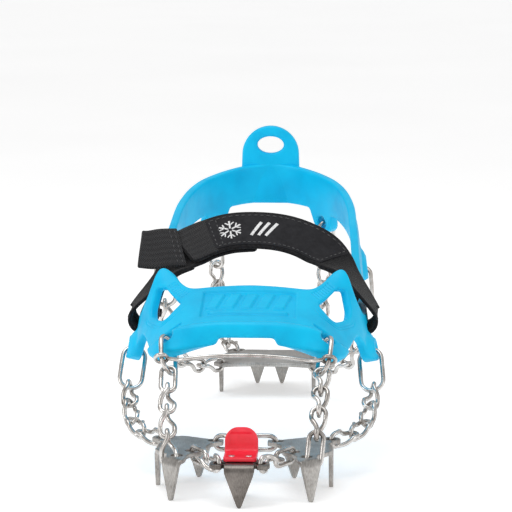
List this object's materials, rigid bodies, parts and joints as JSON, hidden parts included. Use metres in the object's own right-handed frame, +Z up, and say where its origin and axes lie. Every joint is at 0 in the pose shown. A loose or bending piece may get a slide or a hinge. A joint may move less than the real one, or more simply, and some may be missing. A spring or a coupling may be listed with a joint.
{
  "type": "shoe ice cleats",
  "caption": "Winter traction cleat: elastomer harness that stretches over a shoe, with twisted-link steel chains, spiked plates under the sole, a toe stop and an instep strap.",
  "frame": {"origin": "middle of the footprint on the ground, with the spike tips at z = 0", "axes": "+Z up, toe towards -Y, heel towards +Y, +X to the right as seen from the toe"},
  "size_m": [0.1236, 0.3008, 0.137],
  "materials": {
    "harness": "satin moulded elastomer, sky blue",
    "plates": "stamped stainless steel, lightly worn",
    "wire": "polished stainless wire",
    "toe_stop": "bright red moulded plastic",
    "strap_face": "black hook-and-loop strap with a smooth face",
    "webbing": "black woven webbing"
  },
  "bodies": {
    "harness": {"harness": "harness", "strap_lower": "webbing"},
    "toe_plate": {"toe_plate": "plates", "toe_stop": "toe_stop"},
    "forefoot_plate_right": {"forefoot_plate_right": "plates"},
    "forefoot_plate_left": {"forefoot_plate_left": "plates"},
    "heel_plate": {"heel_plate": "plates"},
    "ring_corner_right": {"ring_corner_right": "wire"},
    "link_corner_right_1": {"link_corner_right_1": "wire"},
    "link_corner_right_2": {"link_corner_right_2": "wire"},
    "link_corner_right_3": {"link_corner_right_3": "wire"},
    "link_corner_right_4": {"link_corner_right_4": "wire"},
    "ring_corner_left": {"ring_corner_left": "wire"},
    "link_corner_left_1": {"link_corner_left_1": "wire"},
    "link_corner_left_2": {"link_corner_left_2": "wire"},
    "link_corner_left_3": {"link_corner_left_3": "wire"},
    "link_corner_left_4": {"link_corner_left_4": "wire"},
    "ring_side_right": {"ring_side_right": "wire"},
    "link_side_right_1": {"link_side_right_1": "wire"},
    "link_side_right_2": {"link_side_right_2": "wire"},
    "link_side_right_3": {"link_side_right_3": "wire"},
    "link_side_right_4": {"link_side_right_4": "wire"},
    "ring_side_left": {"ring_side_left": "wire"},
    "link_side_left_1": {"link_side_left_1": "wire"},
    "link_side_left_2": {"link_side_left_2": "wire"},
    "link_side_left_3": {"link_side_left_3": "wire"},
    "link_side_left_4": {"link_side_left_4": "wire"},
    "ring_arch_right": {"ring_arch_right": "wire"},
    "link_arch_right_1": {"link_arch_right_1": "wire"},
    "link_arch_right_2": {"link_arch_right_2": "wire"},
    "link_arch_right_3": {"link_arch_right_3": "wire"},
    "link_arch_right_4": {"link_arch_right_4": "wire"},
    "link_arch_right_5": {"link_arch_right_5": "wire"},
    "ring_arch_left": {"ring_arch_left": "wire"},
    "link_arch_left_1": {"link_arch_left_1": "wire"},
    "link_arch_left_2": {"link_arch_left_2": "wire"},
    "link_arch_left_3": {"link_arch_left_3": "wire"},
    "link_arch_left_4": {"link_arch_left_4": "wire"},
    "link_arch_left_5": {"link_arch_left_5": "wire"},
    "ring_heel_right": {"ring_heel_right": "wire"},
    "link_heel_right_1": {"link_heel_right_1": "wire"},
    "link_heel_right_2": {"link_heel_right_2": "wire"},
    "link_heel_right_3": {"link_heel_right_3": "wire"},
    "link_heel_right_4": {"link_heel_right_4": "wire"},
    "link_heel_right_5": {"link_heel_right_5": "wire"},
    "ring_heel_left": {"ring_heel_left": "wire"},
    "link_heel_left_1": {"link_heel_left_1": "wire"},
    "link_heel_left_2": {"link_heel_left_2": "wire"},
    "link_heel_left_3": {"link_heel_left_3": "wire"},
    "link_heel_left_4": {"link_heel_left_4": "wire"},
    "link_heel_left_5": {"link_heel_left_5": "wire"},
    "link_toe_right_1": {"link_toe_right_1": "wire"},
    "link_toe_right_2": {"link_toe_right_2": "wire"},
    "link_toe_left_1": {"link_toe_left_1": "wire"},
    "link_toe_left_2": {"link_toe_left_2": "wire"},
    "link_cross_1": {"link_cross_1": "wire"},
    "link_cross_2": {"link_cross_2": "wire"},
    "toe_wire": {"toe_wire": "wire"},
    "strap_upper": {"strap_upper": "strap_face"},
    "strap_pull_tab": {"strap_pull_tab": "webbing"}
  },
  "joints": [
    {"name": "toe_plate_rock", "type": "hinge", "parent": "harness", "child": "toe_plate", "pos_m": [0, -0.14462, 0.0175], "axis": [1, 0, 0], "range_deg": [-5, 5]},
    {"name": "forefoot_plate_right_rock", "type": "hinge", "parent": "harness", "child": "forefoot_plate_right", "pos_m": [0.025, -0.10962, 0.0175], "axis": [0.1821, 0.9833, 0], "range_deg": [-0.8, 0.8]},
    {"name": "forefoot_plate_left_rock", "type": "hinge", "parent": "harness", "child": "forefoot_plate_left", "pos_m": [-0.025, -0.10962, 0.0175], "axis": [-0.1821, 0.9833, 0], "range_deg": [-0.8, 0.8]},
    {"name": "heel_plate_rock", "type": "hinge", "parent": "harness", "child": "heel_plate", "pos_m": [0, 0.11038, 0.0175], "axis": [0, 1, 0], "range_deg": [-0.8, 0.8]},
    {"name": "ring_corner_right_swing", "type": "hinge", "parent": "harness", "child": "ring_corner_right", "pos_m": [0.03529, -0.08678, 0.06174], "axis": [0.4834, -0.5911, 0.6457], "range_deg": [-1.8, 1.8]},
    {"name": "link_corner_right_1_swing", "type": "hinge", "parent": "ring_corner_right", "child": "link_corner_right_1", "pos_m": [0.034, -0.09982, 0.0502], "axis": [0.4834, -0.5911, 0.6457], "range_deg": [-3.01, 3.01]},
    {"name": "link_corner_right_2_swing", "type": "hinge", "parent": "link_corner_right_1", "child": "link_corner_right_2", "pos_m": [0.03354, -0.10972, 0.0436], "axis": [0.4834, -0.5911, 0.6457], "range_deg": [-1.2, 1.2]},
    {"name": "link_corner_right_3_swing", "type": "hinge", "parent": "link_corner_right_2", "child": "link_corner_right_3", "pos_m": [0.03308, -0.11908, 0.03623], "axis": [0.4834, -0.5911, 0.6457], "range_deg": [-1.15, 1.15]},
    {"name": "link_corner_right_4_swing", "type": "hinge", "parent": "link_corner_right_3", "child": "link_corner_right_4", "pos_m": [0.03232, -0.12654, 0.02696], "axis": [0.4834, -0.5911, 0.6457], "range_deg": [-1.49, 1.49]},
    {"name": "ring_corner_left_swing", "type": "hinge", "parent": "harness", "child": "ring_corner_left", "pos_m": [-0.03529, -0.08678, 0.06174], "axis": [-0.4834, -0.5911, 0.6457], "range_deg": [-1.8, 1.8]},
    {"name": "link_corner_left_1_swing", "type": "hinge", "parent": "ring_corner_left", "child": "link_corner_left_1", "pos_m": [-0.034, -0.09982, 0.0502], "axis": [-0.4834, -0.5911, 0.6457], "range_deg": [-3.01, 3.01]},
    {"name": "link_corner_left_2_swing", "type": "hinge", "parent": "link_corner_left_1", "child": "link_corner_left_2", "pos_m": [-0.03354, -0.10972, 0.0436], "axis": [-0.4834, -0.5911, 0.6457], "range_deg": [-1.2, 1.2]},
    {"name": "link_corner_left_3_swing", "type": "hinge", "parent": "link_corner_left_2", "child": "link_corner_left_3", "pos_m": [-0.03308, -0.11908, 0.03623], "axis": [-0.4834, -0.5911, 0.6457], "range_deg": [-1.15, 1.15]},
    {"name": "link_corner_left_4_swing", "type": "hinge", "parent": "link_corner_left_3", "child": "link_corner_left_4", "pos_m": [-0.03232, -0.12654, 0.02696], "axis": [-0.4834, -0.5911, 0.6457], "range_deg": [-1.49, 1.49]},
    {"name": "ring_side_right_swing", "type": "hinge", "parent": "harness", "child": "ring_side_right", "pos_m": [0.05441, -0.04252, 0.04929], "axis": [0.9752, -0.089, 0.2028], "range_deg": [-2.6, 2.6]},
    {"name": "link_side_right_1_swing", "type": "hinge", "parent": "ring_side_right", "child": "link_side_right_1", "pos_m": [0.056, -0.05362, 0.034], "axis": [0.9752, -0.089, 0.2028], "range_deg": [-6.29, 6.29]},
    {"name": "link_side_right_2_swing", "type": "hinge", "parent": "link_side_right_1", "child": "link_side_right_2", "pos_m": [0.05484, -0.06352, 0.0276], "axis": [0.9752, -0.089, 0.2028], "range_deg": [-0.84, 0.84]},
    {"name": "link_side_right_3_swing", "type": "hinge", "parent": "link_side_right_2", "child": "link_side_right_3", "pos_m": [0.05293, -0.07366, 0.02178], "axis": [0.9752, -0.089, 0.2028], "range_deg": [-4.44, 4.44]},
    {"name": "link_side_right_4_swing", "type": "hinge", "parent": "link_side_right_3", "child": "link_side_right_4", "pos_m": [0.04741, -0.08365, 0.0186], "axis": [0.9752, -0.089, 0.2028], "range_deg": [-4.06, 4.06]},
    {"name": "ring_side_left_swing", "type": "hinge", "parent": "harness", "child": "ring_side_left", "pos_m": [-0.05441, -0.04252, 0.04929], "axis": [-0.9752, -0.089, 0.2028], "range_deg": [-2.6, 2.6]},
    {"name": "link_side_left_1_swing", "type": "hinge", "parent": "ring_side_left", "child": "link_side_left_1", "pos_m": [-0.056, -0.05362, 0.034], "axis": [-0.9752, -0.089, 0.2028], "range_deg": [-6.29, 6.29]},
    {"name": "link_side_left_2_swing", "type": "hinge", "parent": "link_side_left_1", "child": "link_side_left_2", "pos_m": [-0.05484, -0.06352, 0.0276], "axis": [-0.9752, -0.089, 0.2028], "range_deg": [-0.84, 0.84]},
    {"name": "link_side_left_3_swing", "type": "hinge", "parent": "link_side_left_2", "child": "link_side_left_3", "pos_m": [-0.05293, -0.07366, 0.02178], "axis": [-0.9752, -0.089, 0.2028], "range_deg": [-4.44, 4.44]},
    {"name": "link_side_left_4_swing", "type": "hinge", "parent": "link_side_left_3", "child": "link_side_left_4", "pos_m": [-0.04741, -0.08365, 0.0186], "axis": [-0.9752, -0.089, 0.2028], "range_deg": [-4.06, 4.06]},
    {"name": "ring_arch_right_swing", "type": "hinge", "parent": "harness", "child": "ring_arch_right", "pos_m": [0.04859, 0.05735, 0.07366], "axis": [0.992, 0.0286, 0.1228], "range_deg": [-2.6, 2.6]},
    {"name": "link_arch_right_1_swing", "type": "hinge", "parent": "ring_arch_right", "child": "link_arch_right_1", "pos_m": [0.05, 0.06638, 0.0535], "axis": [0.992, 0.0286, 0.1228], "range_deg": [-3.9, 3.9]},
    {"name": "link_arch_right_2_swing", "type": "hinge", "parent": "link_arch_right_1", "child": "link_arch_right_2", "pos_m": [0.04859, 0.06864, 0.04169], "axis": [0.992, 0.0286, 0.1228], "range_deg": [-1.98, 1.98]},
    {"name": "link_arch_right_3_swing", "type": "hinge", "parent": "link_arch_right_2", "child": "link_arch_right_3", "pos_m": [0.04716, 0.07093, 0.0299], "axis": [0.992, 0.0286, 0.1228], "range_deg": [-0.86, 0.86]},
    {"name": "link_arch_right_4_swing", "type": "hinge", "parent": "link_arch_right_3", "child": "link_arch_right_4", "pos_m": [0.04165, 0.07695, 0.02095], "axis": [0.992, 0.0286, 0.1228], "range_deg": [-1.74, 1.74]},
    {"name": "link_arch_right_5_swing", "type": "hinge", "parent": "link_arch_right_4", "child": "link_arch_right_5", "pos_m": [0.03294, 0.08483, 0.01803], "axis": [0.992, 0.0286, 0.1228], "range_deg": [-1.32, 1.32]},
    {"name": "ring_arch_left_swing", "type": "hinge", "parent": "harness", "child": "ring_arch_left", "pos_m": [-0.04859, 0.05735, 0.07366], "axis": [-0.992, 0.0286, 0.1228], "range_deg": [-2.6, 2.6]},
    {"name": "link_arch_left_1_swing", "type": "hinge", "parent": "ring_arch_left", "child": "link_arch_left_1", "pos_m": [-0.05, 0.06638, 0.0535], "axis": [-0.992, 0.0286, 0.1228], "range_deg": [-3.9, 3.9]},
    {"name": "link_arch_left_2_swing", "type": "hinge", "parent": "link_arch_left_1", "child": "link_arch_left_2", "pos_m": [-0.04859, 0.06864, 0.04169], "axis": [-0.992, 0.0286, 0.1228], "range_deg": [-1.98, 1.98]},
    {"name": "link_arch_left_3_swing", "type": "hinge", "parent": "link_arch_left_2", "child": "link_arch_left_3", "pos_m": [-0.04716, 0.07093, 0.0299], "axis": [-0.992, 0.0286, 0.1228], "range_deg": [-0.86, 0.86]},
    {"name": "link_arch_left_4_swing", "type": "hinge", "parent": "link_arch_left_3", "child": "link_arch_left_4", "pos_m": [-0.04165, 0.07695, 0.02095], "axis": [-0.992, 0.0286, 0.1228], "range_deg": [-1.74, 1.74]},
    {"name": "link_arch_left_5_swing", "type": "hinge", "parent": "link_arch_left_4", "child": "link_arch_left_5", "pos_m": [-0.03294, 0.08483, 0.01803], "axis": [-0.992, 0.0286, 0.1228], "range_deg": [-1.32, 1.32]},
    {"name": "ring_heel_right_swing", "type": "hinge", "parent": "harness", "child": "ring_heel_right", "pos_m": [0.02971, 0.12793, 0.08759], "axis": [0.7745, 0.6268, 0.0855], "range_deg": [-2.6, 2.6]},
    {"name": "link_heel_right_1_swing", "type": "hinge", "parent": "ring_heel_right", "child": "link_heel_right_1", "pos_m": [0.029, 0.13788, 0.063], "axis": [0.7745, 0.6268, 0.0855], "range_deg": [-4.15, 4.15]},
    {"name": "link_heel_right_2_swing", "type": "hinge", "parent": "link_heel_right_1", "child": "link_heel_right_2", "pos_m": [0.02847, 0.14163, 0.05199], "axis": [0.7745, 0.6268, 0.0855], "range_deg": [-2.06, 2.06]},
    {"name": "link_heel_right_3_swing", "type": "hinge", "parent": "link_heel_right_2", "child": "link_heel_right_3", "pos_m": [0.02794, 0.14537, 0.04098], "axis": [0.7745, 0.6268, 0.0855], "range_deg": [-0.96, 0.96]},
    {"name": "link_heel_right_4_swing", "type": "hinge", "parent": "link_heel_right_3", "child": "link_heel_right_4", "pos_m": [0.02687, 0.14677, 0.02947], "axis": [0.7745, 0.6268, 0.0855], "range_deg": [-2.41, 2.41]},
    {"name": "link_heel_right_5_swing", "type": "hinge", "parent": "link_heel_right_4", "child": "link_heel_right_5", "pos_m": [0.02294, 0.14086, 0.02025], "axis": [0.7745, 0.6268, 0.0855], "range_deg": [-2.13, 2.13]},
    {"name": "ring_heel_left_swing", "type": "hinge", "parent": "harness", "child": "ring_heel_left", "pos_m": [-0.02971, 0.12793, 0.08759], "axis": [-0.7745, 0.6268, 0.0855], "range_deg": [-2.6, 2.6]},
    {"name": "link_heel_left_1_swing", "type": "hinge", "parent": "ring_heel_left", "child": "link_heel_left_1", "pos_m": [-0.029, 0.13788, 0.063], "axis": [-0.7745, 0.6268, 0.0855], "range_deg": [-4.15, 4.15]},
    {"name": "link_heel_left_2_swing", "type": "hinge", "parent": "link_heel_left_1", "child": "link_heel_left_2", "pos_m": [-0.02847, 0.14163, 0.05199], "axis": [-0.7745, 0.6268, 0.0855], "range_deg": [-2.06, 2.06]},
    {"name": "link_heel_left_3_swing", "type": "hinge", "parent": "link_heel_left_2", "child": "link_heel_left_3", "pos_m": [-0.02794, 0.14537, 0.04098], "axis": [-0.7745, 0.6268, 0.0855], "range_deg": [-0.96, 0.96]},
    {"name": "link_heel_left_4_swing", "type": "hinge", "parent": "link_heel_left_3", "child": "link_heel_left_4", "pos_m": [-0.02687, 0.14677, 0.02947], "axis": [-0.7745, 0.6268, 0.0855], "range_deg": [-2.41, 2.41]},
    {"name": "link_heel_left_5_swing", "type": "hinge", "parent": "link_heel_left_4", "child": "link_heel_left_5", "pos_m": [-0.02294, 0.14086, 0.02025], "axis": [-0.7745, 0.6268, 0.0855], "range_deg": [-2.13, 2.13]},
    {"name": "link_toe_right_2_swing", "type": "hinge", "parent": "forefoot_plate_right", "child": "link_toe_right_2", "pos_m": [0.02151, -0.12185, 0.0175], "axis": [0, 0, 1], "range_deg": [-3, 3]},
    {"name": "link_toe_right_1_swing", "type": "hinge", "parent": "link_toe_right_2", "child": "link_toe_right_1", "pos_m": [0.0155, -0.13237, 0.0175], "axis": [0, 0, 1], "range_deg": [-6.5, 6.5]},
    {"name": "link_toe_left_2_swing", "type": "hinge", "parent": "forefoot_plate_left", "child": "link_toe_left_2", "pos_m": [-0.02151, -0.12185, 0.0175], "axis": [0, 0, 1], "range_deg": [-3, 3]},
    {"name": "link_toe_left_1_swing", "type": "hinge", "parent": "link_toe_left_2", "child": "link_toe_left_1", "pos_m": [-0.0155, -0.13237, 0.0175], "axis": [0, 0, 1], "range_deg": [-6.5, 6.5]},
    {"name": "link_cross_1_swing", "type": "hinge", "parent": "forefoot_plate_left", "child": "link_cross_1", "pos_m": [-0.0122, -0.09862, 0.0175], "axis": [0, 0, 1], "range_deg": [-3, 3]},
    {"name": "link_cross_2_swing", "type": "hinge", "parent": "link_cross_1", "child": "link_cross_2", "pos_m": [0, -0.09862, 0.0175], "axis": [0, 0, 1], "range_deg": [-6.5, 6.5]},
    {"name": "toe_wire_swing", "type": "hinge", "parent": "harness", "child": "toe_wire", "pos_m": [0, -0.09962, 0.055], "axis": [1, 0, 0], "range_deg": [-3, 3]},
    {"name": "strap_upper_open", "type": "hinge", "parent": "harness", "child": "strap_upper", "pos_m": [0.05114, -0.02857, 0.06353], "axis": [-0.009, 0.9955, 0.0938], "range_deg": [0, 90]},
    {"name": "pull_tab_lift", "type": "hinge", "parent": "strap_upper", "child": "strap_pull_tab", "pos_m": [-0.0354, -0.01722, 0.09275], "axis": [-0.2783, 0.6767, 0.6817], "range_deg": [0, 45]}
  ],
  "couplings": [
    {"joint": "link_corner_right_1_swing", "follows": "ring_corner_right_swing", "ratio": -1.3921},
    {"joint": "link_corner_right_2_swing", "follows": "ring_corner_right_swing", "ratio": -0.38672},
    {"joint": "link_corner_right_3_swing", "follows": "ring_corner_right_swing", "ratio": 0.35912},
    {"joint": "link_corner_right_4_swing", "follows": "ring_corner_right_swing", "ratio": 0.5508},
    {"joint": "link_corner_left_1_swing", "follows": "ring_corner_left_swing", "ratio": -1.3921},
    {"joint": "link_corner_left_2_swing", "follows": "ring_corner_left_swing", "ratio": -0.38672},
    {"joint": "link_corner_left_3_swing", "follows": "ring_corner_left_swing", "ratio": 0.35912},
    {"joint": "link_corner_left_4_swing", "follows": "ring_corner_left_swing", "ratio": 0.5508},
    {"joint": "link_side_right_1_swing", "follows": "ring_side_right_swing", "ratio": -2.2283},
    {"joint": "link_side_right_2_swing", "follows": "ring_side_right_swing", "ratio": -0.13164},
    {"joint": "link_side_right_3_swing", "follows": "ring_side_right_swing", "ratio": 1.5138},
    {"joint": "link_side_right_4_swing", "follows": "ring_side_right_swing", "ratio": 1.3688},
    {"joint": "link_side_left_1_swing", "follows": "ring_side_left_swing", "ratio": -2.2283},
    {"joint": "link_side_left_2_swing", "follows": "ring_side_left_swing", "ratio": -0.13164},
    {"joint": "link_side_left_3_swing", "follows": "ring_side_left_swing", "ratio": 1.5138},
    {"joint": "link_side_left_4_swing", "follows": "ring_side_left_swing", "ratio": 1.3688},
    {"joint": "link_arch_right_1_swing", "follows": "ring_arch_right_swing", "ratio": -1.3058},
    {"joint": "link_arch_right_2_swing", "follows": "ring_arch_right_swing", "ratio": -0.56903},
    {"joint": "link_arch_right_3_swing", "follows": "ring_arch_right_swing", "ratio": 0.13729},
    {"joint": "link_arch_right_4_swing", "follows": "ring_arch_right_swing", "ratio": 0.47724},
    {"joint": "link_arch_right_5_swing", "follows": "ring_arch_right_swing", "ratio": 0.31437},
    {"joint": "link_arch_left_1_swing", "follows": "ring_arch_left_swing", "ratio": -1.3058},
    {"joint": "link_arch_left_2_swing", "follows": "ring_arch_left_swing", "ratio": -0.56903},
    {"joint": "link_arch_left_3_swing", "follows": "ring_arch_left_swing", "ratio": 0.13729},
    {"joint": "link_arch_left_4_swing", "follows": "ring_arch_left_swing", "ratio": 0.47724},
    {"joint": "link_arch_left_5_swing", "follows": "ring_arch_left_swing", "ratio": 0.31437},
    {"joint": "link_heel_right_1_swing", "follows": "ring_heel_right_swing", "ratio": -1.4055},
    {"joint": "link_heel_right_2_swing", "follows": "ring_heel_right_swing", "ratio": -0.59897},
    {"joint": "link_heel_right_3_swing", "follows": "ring_heel_right_swing", "ratio": 0.17763},
    {"joint": "link_heel_right_4_swing", "follows": "ring_heel_right_swing", "ratio": 0.73515},
    {"joint": "link_heel_right_5_swing", "follows": "ring_heel_right_swing", "ratio": 0.62691},
    {"joint": "link_heel_left_1_swing", "follows": "ring_heel_left_swing", "ratio": -1.4055},
    {"joint": "link_heel_left_2_swing", "follows": "ring_heel_left_swing", "ratio": -0.59897},
    {"joint": "link_heel_left_3_swing", "follows": "ring_heel_left_swing", "ratio": 0.17763},
    {"joint": "link_heel_left_4_swing", "follows": "ring_heel_left_swing", "ratio": 0.73515},
    {"joint": "link_heel_left_5_swing", "follows": "ring_heel_left_swing", "ratio": 0.62691},
    {"joint": "link_toe_right_1_swing", "follows": "link_toe_right_2_swing", "ratio": -2},
    {"joint": "link_toe_left_1_swing", "follows": "link_toe_left_2_swing", "ratio": -2},
    {"joint": "link_cross_2_swing", "follows": "link_cross_1_swing", "ratio": -2}
  ]
}
